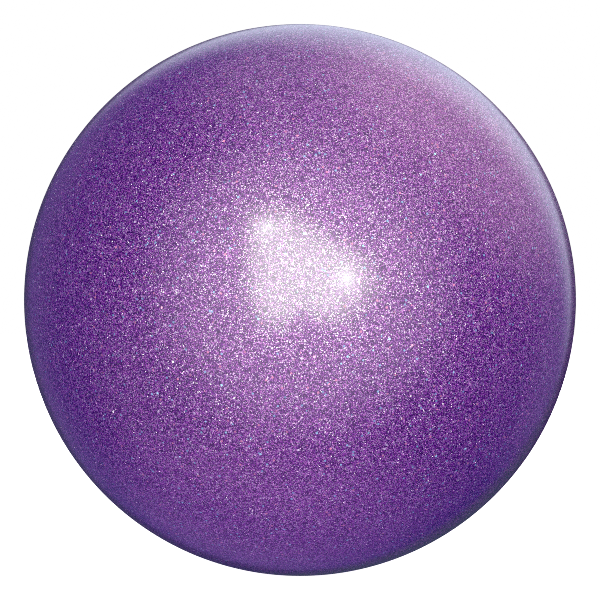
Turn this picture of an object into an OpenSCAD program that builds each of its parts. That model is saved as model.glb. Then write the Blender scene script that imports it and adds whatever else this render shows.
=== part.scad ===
// Inflatable hand ball with a glitter skin, for rhythmic gymnastics, rolling and juggling.
// The origin is the ball's centre. +Y runs out through the valve, and +Z is up.
// Every sub-part is one closed solid, drawn with the valve on +Z and then turned to +Y.

/* [Ball] */
// Outside diameter of the finished ball
ball_d = 185; // [150:1:200]
// Thickness of the clear topcoat
topcoat_t = 0.2; // [0.15:0.05:0.4]
// Thickness of the colour layer that holds the glitter
glitter_t = 0.3; // [0.2:0.05:0.5]
// Thickness of the moulded rubber shell
shell_t = 2.5; // [2.2:0.1:3.5]
// Thickness of the airtight bladder
bladder_t = 0.6; // [0.4:0.1:1]
// Width of the lap joint between the two shell halves
lap_w = 4; // [2:0.5:8]

/* [Valve boot] */
// Diameter of the neck that shows in the ball's surface
neck_d = 12; // [11:0.5:16]
// Diameter of the flange between the bladder and the shell
flange_d = 34; // [26:1:44]
// Thickness of the flange
flange_t = 0.8; // [0.5:0.1:1]
// Diameter of the boss where it leaves the flange
boss_d = 14; // [13:0.5:18]
// Diameter of the boss at its inner end
boss_tip_d = 11; // [10:0.5:13]
// Length of the boss inside the flange
boss_l = 14; // [13:0.5:18]

/* [Valve core] */
// Diameter of the core's head
core_head_d = 8; // [7.6:0.1:9]
// Thickness of the core's head
core_head_t = 2; // [1.5:0.1:3]
// Diameter of the core's body
core_d = 6.2; // [6:0.1:6.6]
// Length of the core's body
core_l = 16; // [16:0.5:19]
// Diameter of the ring that snaps into the boot
snap_d = 7.2; // [6.9:0.1:7.4]
// Diameter of the hole that guides an inflating needle
needle_hole_d = 2.5; // [2.1:0.1:2.7]
// Length of the needle guide
needle_hole_l = 8; // [6:0.5:8]

/* [Plug] */
// Diameter of the plug's head
plug_head_d = 7.6; // [7:0.1:8]
// Thickness of the plug's head
plug_head_t = 1.25; // [1:0.05:1.5]
// Diameter of the plug's stem
plug_stem_d = 3; // [2.9:0.05:3.4]
// Length of the plug's stem
plug_stem_l = 4.2; // [3:0.1:4.5]

/* [Hidden] */
$fn = 256;

bond_gap = 0.02;  // glue line between neighbouring layers
fit_gap = 0.05;   // radial clearance of a push fit
sink = 0.05;      // how far the valve's outer faces sit below the ball's surface
over = 1;         // how far a cutter runs past what it cuts
overlap = 0.25;   // how far two joined shapes of one sub-part run into each other

// Radii of the layers, from outside to inside
topcoat_ro = ball_d / 2;
topcoat_ri = topcoat_ro - topcoat_t;
glitter_ro = topcoat_ri - bond_gap;
glitter_ri = glitter_ro - glitter_t;
shell_ro = glitter_ri - bond_gap;
shell_ri = shell_ro - shell_t;
shell_rm = (shell_ro + shell_ri) / 2;
bladder_ro = shell_ri - bond_gap;
bladder_ri = bladder_ro - bladder_t;
flange_ro = shell_ri + flange_t;

// Heights along the valve's axis, from the ball's centre outwards
valve_top = topcoat_ro - sink;
plug_seat = valve_top - plug_head_t;
core_top = plug_seat - fit_gap;
core_shoulder = core_top - core_head_t;
core_tip = core_shoulder - core_l;
boot_tip = bladder_ro - boss_l;
snap_z = core_shoulder - 8;
snap_l = 1.5;

// The needle's way through the core
socket_d = plug_stem_d + 2 * fit_gap;
socket_l = plug_stem_l + 0.3;
funnel_l = 0.8;
guide_top = core_top - socket_l - funnel_l;
guide_end = guide_top - needle_hole_l;
slit_w = 0.2;
slit_l = 2.3;

// The core's duckbill tip
bill_l = 3;
bill_t = 1.6;

// The plug's grip and lead-in
dimple_d = 1.6;
dimple_depth = 0.5;
notch_w = 1.2;
notch_depth = 0.7;
stem_chamfer = 0.4;
plug_tip = plug_seat - plug_stem_l;

// Turns what is drawn along +Z to the valve's direction, +Y
module turned() {
    rotate([-90, 0, 0]) children();
}

// A closed round layer of the ball
module layer(ro, ri) {
    difference() {
        sphere(r = ro);
        sphere(r = ri);
    }
}

// A round hole from the ball's centre out through the wall
module wall_hole(d) {
    cylinder(h = ball_d, d = d);
}

// A straight round shape between two heights
module barrel(from, to, d) {
    translate([0, 0, from]) cylinder(h = to - from, d = d);
}

// All space above the height z
module above(z) {
    translate([-ball_d, -ball_d, z]) cube(2 * ball_d);
}

// All space below the height z
module below(z) {
    translate([-ball_d, -ball_d, z - 2 * ball_d]) cube(2 * ball_d);
}

// Clear lacquer over the glitter, open round the valve's neck
module clear_topcoat() {
    color([0.82, 0.78, 0.86, 0.35])
        turned()
            difference() {
                layer(topcoat_ro, topcoat_ri);
                wall_hole(neck_d + 2 * fit_gap);
            }
}

// Purple layer with the glitter flakes in it
module glitter_layer() {
    color([0.42, 0.2, 0.58])
        turned()
            difference() {
                layer(glitter_ro, glitter_ri);
                wall_hole(neck_d + 2 * fit_gap);
            }
}

// Moulded half away from the valve, with the inner lip of the lap joint
module front_shell_half() {
    color([0.3, 0.12, 0.42])
        turned() {
            difference() {
                layer(shell_ro, shell_ri);
                above(0);
            }
            difference() {
                layer(shell_rm, shell_ri);
                below(-overlap);
                above(lap_w);
            }
        }
}

// Moulded half at the valve, with the outer lip of the lap joint and a recess for the boot's flange
module rear_shell_half() {
    color([0.3, 0.12, 0.42])
        turned()
            difference() {
                layer(shell_ro, shell_ri);
                below(bond_gap);
                difference() {
                    sphere(r = shell_rm + bond_gap);
                    above(lap_w + bond_gap);
                }
                intersection() {
                    sphere(r = flange_ro + bond_gap);
                    wall_hole(flange_d + 2 * fit_gap);
                }
                wall_hole(neck_d + 2 * fit_gap);
            }
}

// Airtight bladder, open round the boot's boss
module bladder() {
    color([0.12, 0.12, 0.13])
        turned()
            difference() {
                layer(bladder_ro, bladder_ri);
                wall_hole(boss_d + 2 * fit_gap);
            }
}

// Rubber boot: a neck in the shell, a flange between the layers and a tapered boss inside the ball
module valve_boot() {
    color([0.16, 0.09, 0.22])
        turned()
            difference() {
                union() {
                    intersection() {
                        barrel(shell_ri, ball_d, neck_d);
                        sphere(r = valve_top);
                    }
                    intersection() {
                        layer(flange_ro, shell_ri);
                        wall_hole(flange_d);
                    }
                    intersection() {
                        translate([0, 0, boot_tip])
                            cylinder(h = boss_l + over, d1 = boss_tip_d, d2 = boss_d);
                        sphere(r = shell_ri + overlap);
                    }
                }
                barrel(boot_tip - over, ball_d, core_d + 2 * fit_gap);
                barrel(core_shoulder - fit_gap, ball_d, core_head_d + 2 * fit_gap);
                barrel(snap_z - fit_gap, snap_z + snap_l + fit_gap, snap_d + 2 * fit_gap);
            }
}

// Flat-sided envelope that brings the core's tip down to a duckbill
module bill_envelope() {
    half = core_head_d / 2 + over;
    rotate([90, 0, 90])
        linear_extrude(height = 2 * half, center = true)
            polygon([
                [-bill_t / 2, core_tip],
                [bill_t / 2, core_tip],
                [half, core_tip + bill_l],
                [half, core_top + over],
                [-half, core_top + over],
                [-half, core_tip + bill_l],
            ]);
}

// Self-closing core: plug socket, funnel, needle guide and a slit through the tip
module valve_core() {
    color([0.75, 0.72, 0.7])
        turned()
            difference() {
                intersection() {
                    union() {
                        barrel(core_tip, core_shoulder + overlap, core_d);
                        barrel(core_shoulder, core_top, core_head_d);
                        barrel(snap_z, snap_z + snap_l, snap_d);
                    }
                    bill_envelope();
                }
                barrel(core_top - socket_l, core_top + over, socket_d);
                translate([0, 0, guide_top]) cylinder(h = funnel_l, d1 = needle_hole_d, d2 = socket_d);
                barrel(guide_end, guide_top, needle_hole_d);
                translate([-slit_l / 2, -slit_w / 2, core_tip - over])
                    cube([slit_l, slit_w, guide_end - core_tip + 2 * over]);
            }
}

// Flush plug that keeps the ball's surface smooth over the needle hole
module valve_plug() {
    color([0.9, 0.9, 0.88])
        turned()
            difference() {
                union() {
                    intersection() {
                        barrel(plug_seat, ball_d, plug_head_d);
                        sphere(r = valve_top);
                    }
                    barrel(plug_tip + stem_chamfer, plug_seat + overlap, plug_stem_d);
                    translate([0, 0, plug_tip])
                        cylinder(h = stem_chamfer, d1 = plug_stem_d - 2 * stem_chamfer, d2 = plug_stem_d);
                }
                barrel(valve_top - dimple_depth, ball_d, dimple_d);
                translate([plug_head_d / 2 - notch_depth, -notch_w / 2, plug_seat - over])
                    cube([notch_depth + over, notch_w, plug_head_t + 2 * over]);
            }
}

clear_topcoat();
glitter_layer();
front_shell_half();
rear_shell_half();
bladder();
valve_boot();
valve_core();
valve_plug();
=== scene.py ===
"""A purple glitter ball with its needle valve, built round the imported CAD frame, in metres."""
import math

import bmesh
import bpy
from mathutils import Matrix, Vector


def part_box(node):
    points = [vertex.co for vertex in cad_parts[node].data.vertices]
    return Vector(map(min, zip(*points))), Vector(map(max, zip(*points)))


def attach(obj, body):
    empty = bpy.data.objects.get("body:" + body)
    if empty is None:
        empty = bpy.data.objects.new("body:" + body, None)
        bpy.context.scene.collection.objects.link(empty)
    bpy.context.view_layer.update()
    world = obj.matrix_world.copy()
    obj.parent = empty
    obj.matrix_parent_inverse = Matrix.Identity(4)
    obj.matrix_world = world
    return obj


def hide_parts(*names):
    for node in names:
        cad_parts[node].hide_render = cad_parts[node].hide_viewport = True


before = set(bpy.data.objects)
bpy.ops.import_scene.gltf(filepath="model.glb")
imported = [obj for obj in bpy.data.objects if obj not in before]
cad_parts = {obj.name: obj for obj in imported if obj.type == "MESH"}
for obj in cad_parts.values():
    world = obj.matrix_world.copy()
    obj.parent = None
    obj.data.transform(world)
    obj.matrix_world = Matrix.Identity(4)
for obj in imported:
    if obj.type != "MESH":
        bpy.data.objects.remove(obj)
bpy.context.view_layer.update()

MM = 0.001
AXIS = Vector((0, 1, 0))   # the valve's direction
WHITE = (1, 1, 1, 1)

scene = bpy.context.scene


# ---------------------------------------------------------------- sizes, read from the frame

def hole_radius(node):
    """The distance from the valve's axis to the nearest point of a node's rear half."""
    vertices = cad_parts[node].data.vertices
    return min(math.hypot(v.co.x, v.co.z) for v in vertices if v.co.y > 0)


SINK = 0.05 * MM        # how far the valve's outer faces sit below the ball's surface
FIT_GAP = 0.05 * MM     # radial clearance of a push fit
GLITTER_T = 0.28 * MM   # the glitter layer, a little thin so that it stays clear of the shell

BALL_R = -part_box("clear_topcoat")[0].y
SKIN_T = BALL_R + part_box("glitter_layer")[0].y + GLITTER_T
HOLE_R = hole_radius("clear_topcoat")
VALVE_R = BALL_R - SINK
BOOT_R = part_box("valve_boot")[1].z
BOOT_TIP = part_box("valve_boot")[0].y
NECK_R = HOLE_R - FIT_GAP
CORE_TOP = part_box("valve_core")[1].y
PLUG_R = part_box("valve_plug")[1].z
PLUG_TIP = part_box("valve_plug")[0].y


# ---------------------------------------------------------------- mesh tools

def add_object(name, data):
    """A new object in the scene."""
    obj = bpy.data.objects.new(name, data)
    scene.collection.objects.link(obj)
    return obj


def to_mesh(name, bm):
    """A mesh from a bmesh, which is freed."""
    mesh = bpy.data.meshes.new(name)
    bm.to_mesh(mesh)
    bm.free()
    return mesh


def mesh_object(name, bm):
    """A smooth-shaded object from a bmesh, with its normals turned outwards."""
    bmesh.ops.recalc_face_normals(bm, faces=bm.faces)
    mesh = to_mesh(name, bm)
    for polygon in mesh.polygons:
        polygon.use_smooth = True
    return add_object(name, mesh)


def bridge(bm, ring_a, ring_b):
    """Quads between two closed rings with the same number of points."""
    count = len(ring_a)
    for i in range(count):
        j = (i + 1) % count
        bm.faces.new((ring_a[i], ring_a[j], ring_b[j], ring_b[i]))


def arc(centre, radius, start, end, steps):
    """Points (r, y) along an arc, with its angles in degrees from the +r direction."""
    points = []
    for i in range(steps + 1):
        angle = math.radians(start + (end - start) * i / steps)
        points.append((centre[0] + radius * math.cos(angle), centre[1] + radius * math.sin(angle)))
    return points


# ---------------------------------------------------------------- the glitter skin

GRID = 72                      # quads along each edge of the six square patches that cover the ball
FACE_HALF = math.radians(45)   # half of the angle that one patch covers
SAME_POINT = 5                 # decimals at which two directions count as the same point
CAP_RINGS = 36                 # rings between the valve and the edge of the rear patch
CAP_EASE = 1.9                 # above 1, those rings crowd towards the valve
LIP_R = 0.35 * MM              # rounding of the skin's edge at the valve
LIP_STEPS = 8


def patch_direction(axis, u, v):
    """The unit direction of one point of a cube's face, spread evenly by angle."""
    a = math.tan(FACE_HALF * u)
    b = math.tan(FACE_HALF * v)
    spots = {
        "-y": (a, -1, b),
        "+y": (a, 1, b),
        "+x": (1, a, b),
        "-x": (-1, a, b),
        "+z": (a, b, 1),
        "-z": (a, b, -1),
    }
    return Vector(spots[axis]).normalized()


def square_edge():
    """The points along the rear patch's edge, in order, as unit directions."""
    steps = [2 * i / GRID - 1 for i in range(GRID)]
    sides = (
        [(s, -1) for s in steps]
        + [(1, s) for s in steps]
        + [(-s, 1) for s in steps]
        + [(-1, -s) for s in steps]
    )
    return [patch_direction("+y", u, v) for u, v in sides]


def add_sphere(bm, radius, hole_angle):
    """A sphere of quads with a round hole about the valve's axis. Gives the points round the hole."""
    spots = {}

    def point(direction):
        key = tuple(round(c, SAME_POINT) for c in direction)
        if key not in spots:
            spots[key] = bm.verts.new(direction * radius)
        return spots[key]

    for axis in ("-y", "+x", "-x", "+z", "-z"):
        for i in range(GRID):
            for j in range(GRID):
                corners = ((i, j), (i + 1, j), (i + 1, j + 1), (i, j + 1))
                bm.faces.new(
                    [point(patch_direction(axis, 2 * a / GRID - 1, 2 * b / GRID - 1)) for a, b in corners]
                )
    edge = square_edge()
    previous = [point(direction) for direction in edge]
    for step in range(1, CAP_RINGS + 1):
        share = (1 - step / CAP_RINGS) ** CAP_EASE
        row = []
        for direction in edge:
            polar = math.acos(direction.y)
            angle = hole_angle + (polar - hole_angle) * share
            side = Vector((direction.x, 0, direction.z)).normalized()
            row.append(bm.verts.new((side * math.sin(angle) + AXIS * math.cos(angle)) * radius))
        bridge(bm, previous, row)
        previous = row
    return previous


def build_skin():
    """The glitter skin: a closed shell whose edge rolls down into the valve's hole."""
    bm = bmesh.new()
    inner_r = BALL_R - SKIN_T
    lip_centre_r = HOLE_R + LIP_R
    lip_centre_y = math.sqrt((BALL_R - LIP_R) ** 2 - lip_centre_r ** 2)
    hole_angle = math.asin(lip_centre_r / (BALL_R - LIP_R))
    outer = add_sphere(bm, BALL_R, hole_angle)
    sides = [Vector((v.co.x, 0, v.co.z)).normalized() for v in outer]
    lip = arc((lip_centre_r, lip_centre_y), LIP_R, 90 - math.degrees(hole_angle), 180, LIP_STEPS)
    previous = outer
    for r, y in lip[1:]:
        row = [bm.verts.new(side * r + AXIS * y) for side in sides]
        bridge(bm, previous, row)
        previous = row
    inner = add_sphere(bm, inner_r, math.asin(HOLE_R / inner_r))
    bridge(bm, previous, inner)
    return mesh_object("glitter_skin", bm)


# ---------------------------------------------------------------- the valve

HOLD = 1.25       # how far the points that hold a flat face stand back from a rounded corner
ROUND_STEPS = 5   # spans along a rounded corner


def on_sphere(radius, r):
    """The height at which a sphere about the ball's centre has the distance r from the axis."""
    return math.sqrt(radius ** 2 - r ** 2)


def dome(radius, start, end, steps):
    """Unrounded corners along a sphere, from one distance from the axis to another."""
    spots = [start + (end - start) * i / steps for i in range(steps + 1)]
    return [(r, on_sphere(radius, r), 0) for r in spots]


def rounded(corners):
    """Outline points (r, y) from corners (r, y, rounding)."""
    points = []
    for i, (r, y, size) in enumerate(corners):
        here = Vector((r, y))
        if size == 0:
            points.append(here)
            continue
        back = (Vector(corners[i - 1][:2]) - here).normalized() * size
        ahead = (Vector(corners[(i + 1) % len(corners)][:2]) - here).normalized() * size
        points.append(here + back * HOLD)
        for step in range(ROUND_STEPS + 1):
            t = step / ROUND_STEPS
            points.append(here + back * (1 - t) ** 2 + ahead * t ** 2)
        points.append(here + ahead * HOLD)
    return points


def lathe(name, outline, segments, reach=None):
    """A solid turned about the Y axis from a closed outline. reach changes a radius by its angle."""
    bm = bmesh.new()
    rings = []
    for r, y in outline:
        if r == 0:
            rings.append([bm.verts.new((0, y, 0))])
            continue
        ring = []
        for i in range(segments):
            angle = 2 * math.pi * i / segments
            radius = reach(r, angle) if reach else r
            ring.append(bm.verts.new((radius * math.cos(angle), y, radius * math.sin(angle))))
        rings.append(ring)
    for ring, following in zip(rings, rings[1:] + rings[:1]):
        if len(ring) == len(following) == segments:
            bridge(bm, ring, following)
        elif len(ring) != len(following):
            pole, rim = sorted((ring, following), key=len)
            for i in range(segments):
                bm.faces.new((pole[0], rim[i], rim[(i + 1) % segments]))
    return mesh_object(name, bm)


def build_ring():
    """The rubber boot: a grooved neck in the ball's surface, a flange and a tapered boss inside."""
    wall_t, flange_t = 3.04 * MM, 0.8 * MM       # the wall is both coats and the shell, with their glue
    flange_in = BALL_R - wall_t
    flange_out = flange_in + flange_t
    flange_flat = 16.4 * MM                      # where the flange's rounded rim starts
    boss_side, neck_side = 8 * MM, 7 * MM        # where its faces start beside the boss and the neck
    boss_tip_r, boss_r = 5.5 * MM, 6.87 * MM
    pocket_r = 4 * MM + FIT_GAP
    pocket_floor = CORE_TOP - 2 * MM - FIT_GAP
    bore_r = 3.1 * MM + FIT_GAP
    snap_r = 3.6 * MM + FIT_GAP
    snap_low = CORE_TOP - 10 * MM - FIT_GAP
    snap_high = CORE_TOP - 8.5 * MM + FIT_GAP
    groove_out, groove_in, groove_depth = 5.35 * MM, 4.85 * MM, 0.25 * MM
    groove_round, groove_slope = 0.08 * MM, 0.08 * MM
    groove_floor = on_sphere(VALVE_R, groove_out) - groove_depth
    corners = [
        (boss_tip_r, BOOT_TIP, 0.4 * MM),
        (boss_r, on_sphere(flange_in, boss_r), 0),
        *dome(flange_in, boss_side, flange_flat, steps=12),
        (BOOT_R, on_sphere(flange_in, BOOT_R), 0.2 * MM),
        (BOOT_R, on_sphere(flange_out, BOOT_R), 0.2 * MM),
        *dome(flange_out, flange_flat, neck_side, steps=12),
        (NECK_R, on_sphere(flange_out, NECK_R), 0),
        (NECK_R, on_sphere(VALVE_R, NECK_R), 0.3 * MM),
        (groove_out, on_sphere(VALVE_R, groove_out), groove_round),
        (groove_out - groove_slope, groove_floor, groove_round),
        (groove_in + groove_slope, groove_floor, groove_round),
        (groove_in, on_sphere(VALVE_R, groove_in), groove_round),
        (pocket_r, on_sphere(VALVE_R, pocket_r), 0.25 * MM),
        (pocket_r, pocket_floor, 0),
        (bore_r, pocket_floor, 0),
        (bore_r, snap_high, 0),
        (snap_r, snap_high, 0),
        (snap_r, snap_low, 0),
        (bore_r, snap_low, 0),
        (bore_r, BOOT_TIP, 0.2 * MM),
    ]
    return lathe("valve_ring", rounded(corners), segments=160)


def build_plug():
    """The plug: a domed head with a dimple and a thumbnail notch at +X, and a stem with a lead-in."""
    seat = CORE_TOP + FIT_GAP
    stem_r, chamfer = 1.5 * MM, 0.4 * MM
    dimple_r, dimple_floor = 0.8 * MM, VALVE_R - 0.5 * MM
    corners = [
        (0, dimple_floor, 0),
        (dimple_r - 0.1 * MM, dimple_floor, 0.2 * MM),
        (dimple_r, on_sphere(VALVE_R, dimple_r), 0.12 * MM),
        *dome(VALVE_R, dimple_r + 0.3 * MM, PLUG_R - 0.5 * MM, steps=8),
        (PLUG_R, on_sphere(VALVE_R, PLUG_R), 0.28 * MM),
        (PLUG_R, seat, 0.12 * MM),
        (stem_r, seat, 0),
        (stem_r, PLUG_TIP + chamfer, 0.1 * MM),
        (stem_r - chamfer, PLUG_TIP, 0.1 * MM),
        (0, PLUG_TIP, 0),
    ]
    notch_depth, notch_root = 0.7 * MM, 2.3 * MM
    notch_half, notch_blend = 12.5, 5   # degrees from +X to the notch's end, and of its sloping side

    def notched(r, angle):
        """Draws the head's edge in towards the axis, near +X."""
        if r <= notch_root:
            return r
        off = abs(math.degrees(math.remainder(angle, 2 * math.pi)))
        t = min(max((notch_half - off) / notch_blend, 0), 1)
        depth = notch_depth * t * t * (3 - 2 * t)
        return r - depth * (r - notch_root) / (PLUG_R - notch_root)

    return lathe("pull_plug", rounded(corners), segments=240, reach=notched)


# ---------------------------------------------------------------- node tools

# A Mix node's colour sockets by their place, because its other sockets share their names
MIX_FACTOR, MIX_A, MIX_B, MIX_RESULT = 0, 6, 7, 2


def new_material(name):
    """A node material, its tree and its Principled shader."""
    material = bpy.data.materials.new(name)
    material.use_nodes = True
    tree = material.node_tree
    return material, tree, tree.nodes["Principled BSDF"]


def set_inputs(shader, values):
    """Sets plain values on a shader's own sockets."""
    for name, value in values.items():
        shader.inputs[name].default_value = value


def add_node(tree, kind, links=None, **values):
    """A node with its properties set and its inputs linked to sockets or given values."""
    node = tree.nodes.new(kind)
    for name, value in values.items():
        setattr(node, name, value)
    for name, source in (links or {}).items():
        socket = node.inputs[name]
        if isinstance(source, bpy.types.NodeSocket):
            tree.links.new(source, socket)
        else:
            socket.default_value = source
    return node


def vector_math(tree, operation, a, b=None, scale=None):
    """The result socket of one vector operation."""
    links = {0: a}
    if b is not None:
        links[1] = b
    if scale is not None:
        links["Scale"] = scale
    node = add_node(tree, "ShaderNodeVectorMath", links, operation=operation)
    return node.outputs["Value" if operation == "DOT_PRODUCT" else "Vector"]


def ramp(tree, factor, stops, interpolation="CONSTANT"):
    """A colour ramp's colour socket, with its stops as (position, colour)."""
    node = add_node(tree, "ShaderNodeValToRGB", {"Fac": factor})
    elements = node.color_ramp.elements
    node.color_ramp.interpolation = interpolation
    elements[0].position, elements[0].color = stops[0][0], (*stops[0][1], 1)
    elements[1].position, elements[1].color = stops[-1][0], (*stops[-1][1], 1)
    for position, colour in stops[1:-1]:
        elements.new(position).color = (*colour, 1)
    return node.outputs["Color"]


def level_ramp(tree, factor, stops):
    """A stepped ramp of plain levels, with its stops as (position, level)."""
    return ramp(tree, factor, [(position, (level,) * 3) for position, level in stops])


def mix_colour(tree, factor, a, b):
    """The colour socket of a mix: a where the factor is 0, and b where it is 1."""
    links = {MIX_FACTOR: factor, MIX_A: a, MIX_B: b}
    return add_node(tree, "ShaderNodeMix", links, data_type="RGBA").outputs[MIX_RESULT]


# ---------------------------------------------------------------- the glitter

FLAKE = 0.24 * MM      # width of a fine flake
SPARK = 1.6 * MM       # spacing of the sparks, which are the large coloured flakes
SPARK_SHARE = 0.32     # share of the spark cells that hold a spark
SPARK_REACH = 0.22     # radius of a spark, in cells
LEAN_POWER = 1.3       # above 1, most flakes lie nearly flat
LEAN_UNIT = 4.0        # keeps the leans inside a ramp's 0 to 1

# Share of the flakes at which each kind starts, its colour, metal, roughness and steepest lean in degrees
FINE_KINDS = (
    (0.00, (0.072, 0.002, 0.15), 0.0, 0.48, 50),
    (0.36, (0.27, 0.026, 0.40), 0.08, 0.48, 50),
    (0.64, (0.70, 0.260, 0.71), 0.32, 0.45, 48),
    (0.85, (0.97, 0.790, 0.99), 0.56, 0.39, 42),
    (0.95, (1.00, 0.960, 1.00), 0.68, 0.30, 36),
)
SPARK_KINDS = (
    (0.00, (0.40, 0.85, 0.95), 0.3, 0.25, 36),
    (0.13, (1.00, 0.40, 0.55), 0.3, 0.25, 36),
    (0.24, (0.92, 0.90, 0.98), 0.3, 0.25, 36),
)

# The clear coat over the flakes, and their own weak gloss under it
COAT = {
    "Coat Weight": 1.0,
    "Coat Roughness": 0.18,
    "Coat IOR": 2.0,
    "Specular IOR Level": 0.1,
}


def flakes(tree, coordinates, size, kinds):
    """A field of flat flakes: the number that picks each one's kind, how far its middle is, its normal."""
    cells = add_node(
        tree, "ShaderNodeTexVoronoi", {"Vector": coordinates, "Scale": 1 / size}, feature="F1",
    )
    noise = add_node(
        tree, "ShaderNodeTexWhiteNoise", {"Vector": cells.outputs["Position"]}, noise_dimensions="3D",
    )
    pick = noise.outputs["Value"]
    # Each flake leans its own way, and a second random number says how much of its kind's lean it takes
    steepest = [(start, 2 * math.tan(math.radians(lean)) / LEAN_UNIT) for start, *_, lean in kinds]
    chance = add_node(tree, "ShaderNodeSeparateColor", {"Color": noise.outputs["Color"]}).outputs["Green"]
    part = add_node(tree, "ShaderNodeMath", {0: chance, 1: LEAN_POWER}, operation="POWER").outputs[0]
    lean = vector_math(tree, "SUBTRACT", cells.outputs["Color"], (0.5, 0.5, 0.5))
    for scale in (level_ramp(tree, pick, steepest), LEAN_UNIT, part):
        lean = vector_math(tree, "SCALE", lean, scale=scale)
    normal = add_node(tree, "ShaderNodeNewGeometry").outputs["Normal"]
    leaned = vector_math(tree, "NORMALIZE", vector_math(tree, "ADD", normal, lean))
    return pick, cells.outputs["Distance"], leaned


def kind_ramps(tree, pick, kinds):
    """The colour, metal and roughness sockets of a field of flakes."""
    starts, colours, metals, roughnesses, _ = zip(*kinds)
    colour = ramp(tree, pick, list(zip(starts, colours)))
    metal = level_ramp(tree, pick, zip(starts, metals))
    roughness = level_ramp(tree, pick, zip(starts, roughnesses))
    return colour, metal, roughness


def glitter_material():
    """Purple plastic full of fine flakes and sparse coloured ones, under a clear coat."""
    material, tree, shader = new_material("glitter")
    coordinates = add_node(tree, "ShaderNodeTexCoord").outputs["Object"]
    fine_pick, _, fine_leaned = flakes(tree, coordinates, FLAKE, FINE_KINDS)
    spark_pick, spark_distance, spark_leaned = flakes(tree, coordinates, SPARK, SPARK_KINDS)
    near = level_ramp(tree, spark_distance, [(0.0, 1.0), (SPARK_REACH, 0.0)])
    chosen = level_ramp(tree, spark_pick, [(0.0, 1.0), (SPARK_SHARE, 0.0)])
    spark = add_node(tree, "ShaderNodeMath", {0: near, 1: chosen}, operation="MULTIPLY").outputs[0]
    fine = (*kind_ramps(tree, fine_pick, FINE_KINDS), fine_leaned)
    sparks = (*kind_ramps(tree, spark_pick, SPARK_KINDS), spark_leaned)
    for name, a, b in zip(("Base Color", "Metallic", "Roughness", "Normal"), fine, sparks):
        tree.links.new(mix_colour(tree, spark, a, b), shader.inputs[name])
    set_inputs(shader, COAT)
    return material


# ---------------------------------------------------------------- rubber and plain plastic

GRAIN_SCALE = 900.0       # grains to the metre
GRAIN_TONE = 0.2          # how far the grain changes the colour, as a share of it
GRAIN_ROUGHNESS = 0.06    # how far the grain changes the roughness
GRAIN_BUMP = 0.15         # strength of the grain's bump
GRAIN_DEPTH = 0.05 * MM


def rubber_material(name, colour, roughness):
    """Plain moulded rubber or plastic with a fine grain."""
    material, tree, shader = new_material(name)
    coordinates = add_node(tree, "ShaderNodeTexCoord").outputs["Object"]
    grain = add_node(
        tree, "ShaderNodeTexNoise", {"Vector": coordinates, "Scale": GRAIN_SCALE, "Detail": 4.0},
    ).outputs["Fac"]
    darker = tuple((1 - GRAIN_TONE) * c for c in colour)
    lighter = tuple((1 + GRAIN_TONE) * c for c in colour)
    tone = ramp(tree, grain, [(0.3, darker), (0.7, lighter)], "LINEAR")
    level = add_node(tree, "ShaderNodeMapRange", {
        "Value": grain, "To Min": roughness - GRAIN_ROUGHNESS, "To Max": roughness + GRAIN_ROUGHNESS,
    })
    bump = add_node(tree, "ShaderNodeBump", {
        "Height": grain, "Strength": GRAIN_BUMP, "Distance": GRAIN_DEPTH,
    })
    tree.links.new(tone, shader.inputs["Base Color"])
    tree.links.new(level.outputs["Result"], shader.inputs["Roughness"])
    tree.links.new(bump.outputs["Normal"], shader.inputs["Normal"])
    return material


# ---------------------------------------------------------------- the ball's pieces

def dress(obj, material):
    """Gives an object one material on every face."""
    obj.data.materials.clear()
    obj.data.materials.append(material)
    for polygon in obj.data.polygons:
        polygon.material_index = 0


skin = build_skin()
dress(skin, glitter_material())
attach(skin, "ball")
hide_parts("clear_topcoat", "glitter_layer")

shell_rubber = rubber_material("shell_rubber", (0.1, 0.03, 0.16), 0.6)
dress(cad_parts["front_shell_half"], shell_rubber)
dress(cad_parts["rear_shell_half"], shell_rubber)
dress(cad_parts["bladder"], rubber_material("bladder_rubber", (0.03, 0.03, 0.035), 0.5))
dress(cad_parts["valve_core"], rubber_material("core_rubber", (0.5, 0.46, 0.42), 0.6))

ring = build_ring()
dress(ring, rubber_material("boot_rubber", (0.13, 0.03, 0.22), 0.45))
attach(ring, "ball")
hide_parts("valve_boot")

plug = build_plug()
dress(plug, rubber_material("plug_plastic", (0.5, 0.44, 0.56), 0.35))
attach(plug, "plug")
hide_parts("valve_plug")


# ---------------------------------------------------------------- camera

LENS = 100.0        # focal length, in mm
SENSOR = 36.0       # width of the camera's sensor, in mm
BALL_SHARE = 0.92   # the ball's width as a share of the picture's


def build_camera():
    """A level camera in front of the ball, as far away as makes the ball fill its share."""
    data = bpy.data.cameras.new("camera")
    data.lens = LENS
    data.sensor_width = SENSOR
    data.clip_start = 0.01
    camera = add_object("camera", data)
    ball_angle = math.atan(BALL_SHARE * SENSOR / 2 / LENS)
    camera.location = (0, -BALL_R / math.sin(ball_angle), 0)
    camera.rotation_euler = (math.radians(90), 0, 0)
    scene.camera = camera


# ---------------------------------------------------------------- lamps and reflectors

# Each lamp's azimuth, elevation, distance, size and radiance, and whether it shows in glossy reflections
LAMPS = {
    "left_lamp": (-14, 27, 1.2, (0.08, 0.06), 12.0, True),
    "right_lamp": (17.5, 8, 1.2, (0.07, 0.07), 17.0, True),
    "back_key": (180, 3, 1.6, (0.36, 0.36), 36.0, False),
    "back_left": (-154, 14, 1.6, (0.5, 0.5), 9.0, False),
    "back_right": (154, 14, 1.6, (0.5, 0.5), 9.0, False),
}

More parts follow.
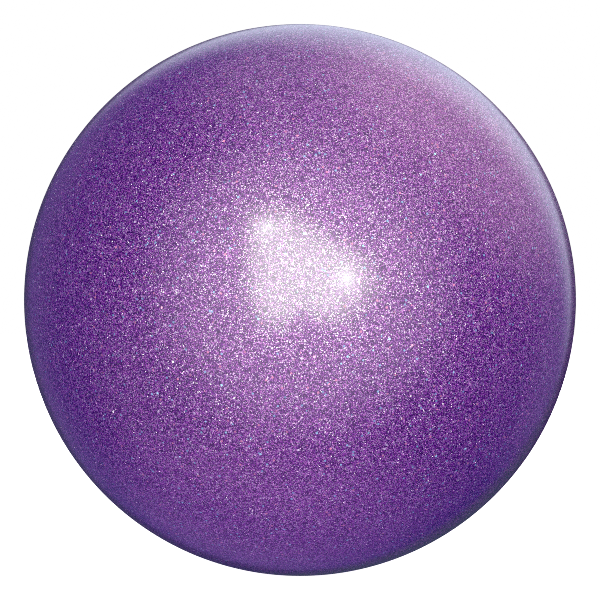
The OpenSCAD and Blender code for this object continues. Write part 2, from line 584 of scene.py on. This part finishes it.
# The front panel's outline as (azimuth, elevation), and its nested layers as size, distance and radiance
MAIN_OUTLINE = [
    (-20, 31), (-5, 32), (9, 24), (24, 15), (27, 5), (16, -6),
    (7, -7), (1, -2), (-4, -8), (-14, -8), (-18, 4),
]
MAIN_MIDDLE = (0, 9)
MAIN_COLOUR = (0.91, 0.96, 0.82)
MAIN_LAYERS = ((0.84, 1.18, 5.0), (1.0, 1.19, 4.0), (1.2, 1.2, 2.0))


def direction(azimuth, elevation):
    """A unit direction: azimuth 0 is towards the camera, and 90 is to the camera's right."""
    a, e = math.radians(azimuth), math.radians(elevation)
    return Vector((math.sin(a) * math.cos(e), -math.cos(a) * math.cos(e), math.sin(e)))


def soft_light(name, azimuth, elevation, distance, size, radiance, glossy):
    """A rectangular light that faces the ball's centre and isn't seen itself."""
    data = bpy.data.lights.new(name, "AREA")
    data.shape = "RECTANGLE"
    data.size, data.size_y = size
    data.energy = radiance * math.pi * size[0] * size[1]
    light = add_object(name, data)
    place = direction(azimuth, elevation) * distance
    light.location = place
    light.rotation_euler = (-place).to_track_quat("-Z", "Y").to_euler()
    light.visible_camera = False
    light.visible_glossy = glossy


def reflector(name, outline, distance, radiance, colour):
    """A flat glowing panel in front of the ball, which shows in glossy reflections only."""
    bm = bmesh.new()
    corners = []
    for azimuth, elevation in outline:
        towards = direction(azimuth, elevation)
        corners.append(bm.verts.new(towards * (-distance / towards.y)))
    bm.faces.new(corners)
    panel = add_object(name, to_mesh(name, bm))
    material, tree, shader = new_material(name)
    tree.nodes.remove(shader)
    glow = add_node(tree, "ShaderNodeEmission", {"Color": (*colour, 1), "Strength": radiance})
    tree.links.new(glow.outputs["Emission"], tree.nodes["Material Output"].inputs["Surface"])
    dress(panel, material)
    panel.visible_camera = False
    panel.visible_diffuse = False


def main_reflector(size, distance, radiance):
    """One layer of the front panel, its outline scaled about the panel's middle."""
    middle_a, middle_e = MAIN_MIDDLE
    outline = [
        (middle_a + size * (a - middle_a), middle_e + size * (e - middle_e)) for a, e in MAIN_OUTLINE
    ]
    reflector(f"main_reflector_{size}", outline, distance, radiance, MAIN_COLOUR)


# ---------------------------------------------------------------- surroundings

ROOM = (0.015, 0.012, 0.22)   # colour of the surroundings, before the glows are added

# Soft glows in the surroundings: turn, spread, inner and outer radius in degrees, and colour
GLOWS = {
    "front_wall": (78, 9, 16, 73, (1.36, 1.08, 1.2)),
    "low": (268, 66, 10, 42, (0.18, 0.09, 0.16)),
    "low_left": (222, 64, 10, 46, (0.14, 0.1, 0.1)),
    "top": (82, 97, 10, 45, (0.38, 0.28, 0.3)),
    "upper_right": (45, 104, 10, 47, (0.7, 0.46, 0.49)),
    "bottom": (262, 105, 10, 50, (0.18, 0.09, 0.2)),
    "bottom_rim": (240, 145, 8, 35, (0.06, 0.05, 0.06)),
    "rim": (60, 153, 12, 40, (0.84, 0.97, 0.94)),
    "right_rim": (352, 134, 8, 28, (0.13, 0.09, 0.12)),
    "left_rim": (165, 148, 8, 38, (0.1, 0.07, 0.07)),
}

# The dark space behind the ball, which draws its thin dark outline, in the same terms
DARKS = {
    "behind": (-52, 170, 22, 26, (0.02, 0.03, 0.06)),
    "bottom": (258, 164, 15, 20, (0.012, 0.026, 0.07)),
    "lower_right": (312, 158, 15, 20, (0.036, 0.07, 0.082)),
    "left": (188, 167, 15, 20, (0.03, 0.05, 0.075)),
    "upper_left": (140, 167, 11, 15, (0.03, 0.05, 0.07)),
    "right": (5, 163, 12, 16, (0.01, 0.012, 0.04)),
}


def patch_middle(turn, spread):
    """A unit direction: spread is its angle from the camera's side, and turn goes round from the right."""
    t, s = math.radians(turn), math.radians(spread)
    return Vector((math.sin(s) * math.cos(t), -math.cos(s), math.sin(s) * math.sin(t)))


def patch(tree, outwards, turn, spread, inner, outer):
    """A soft-edged round patch of the surroundings: 1 inside, 0 outside."""
    near = vector_math(tree, "DOT_PRODUCT", outwards, patch_middle(turn, spread))
    return add_node(tree, "ShaderNodeMapRange", {
        "Value": near,
        "From Min": math.cos(math.radians(outer)),
        "From Max": math.cos(math.radians(inner)),
    }, interpolation_type="SMOOTHSTEP").outputs["Result"]


def build_world():
    """The surroundings that light the ball and show in its coat. The camera itself sees plain white."""
    world = bpy.data.worlds.new("studio")
    scene.world = world
    world.use_nodes = True
    tree = world.node_tree
    outwards = add_node(tree, "ShaderNodeTexCoord").outputs["Generated"]
    surroundings = ROOM
    for name, (*place, colour) in GLOWS.items():
        glow = vector_math(tree, "SCALE", colour, scale=patch(tree, outwards, *place))
        glow.node.label = name
        surroundings = vector_math(tree, "ADD", surroundings, glow)
    for name, (*place, colour) in DARKS.items():
        surroundings = mix_colour(tree, patch(tree, outwards, *place), surroundings, (*colour, 1))
        surroundings.node.label = name
    camera_ray = add_node(tree, "ShaderNodeLightPath").outputs["Is Camera Ray"]
    seen = mix_colour(tree, camera_ray, surroundings, WHITE)
    tree.links.new(seen, tree.nodes["Background"].inputs["Color"])


# ---------------------------------------------------------------- floor

FLOOR_R = 4.0
FLOOR_LOOK = {
    "Base Color": (0.8, 0.8, 0.8, 1),
    "Roughness": 0.9,
    "Emission Color": WHITE,
    "Emission Strength": 0.95,
}


def build_floor():
    """A white floor under the ball, which neither lights the ball nor shows in its coat."""
    bm = bmesh.new()
    bmesh.ops.create_circle(bm, cap_ends=True, segments=64, radius=FLOOR_R)
    floor = add_object("floor", to_mesh("floor", bm))
    floor.location.z = -BALL_R
    floor.visible_glossy = False
    floor.visible_diffuse = False
    material, _, shader = new_material("floor")
    set_inputs(shader, FLOOR_LOOK)
    dress(floor, material)


build_camera()
for layer in MAIN_LAYERS:
    main_reflector(*layer)
for name, lamp in LAMPS.items():
    soft_light(name, *lamp)
build_world()
build_floor()

scene.view_settings.view_transform = "Standard"
scene.cycles.use_denoising = False
scene.cycles.filter_width = 1.0
